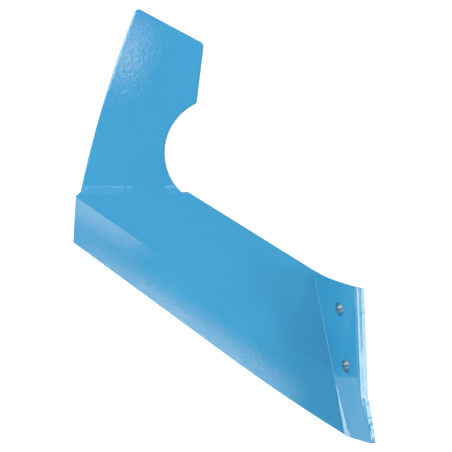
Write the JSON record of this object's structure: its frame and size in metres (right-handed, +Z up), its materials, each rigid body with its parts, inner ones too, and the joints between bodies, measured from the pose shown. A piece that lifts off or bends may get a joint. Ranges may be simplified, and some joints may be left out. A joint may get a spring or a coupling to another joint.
{
  "type": "cultivator wing share",
  "caption": "Right-hand cultivator wing share: bevelled steel blade with a bent bolting flange and a welded guide fin with a round cut-out.",
  "frame": {"origin": "midway between the two flange bolt holes, on the outer face of the flange that bolts to the tine", "axes": "+Z up in the working position, travel towards -Y, +X along the bolts out of the mounting face, so the wing reaches out to -X"},
  "size_m": [0.2097, 0.4514, 0.1293],
  "materials": {
    "blade_paint": "gloss",
    "fin_paint": "gloss",
    "weld_paint": "gloss"
  },
  "bodies": {
    "root": {"wing_blade": "blade_paint", "guide_fin": "fin_paint", "fin_weld_upper": "weld_paint", "fin_weld_tack": "weld_paint", "fin_weld_underside": "weld_paint"}
  },
  "joints": []
}
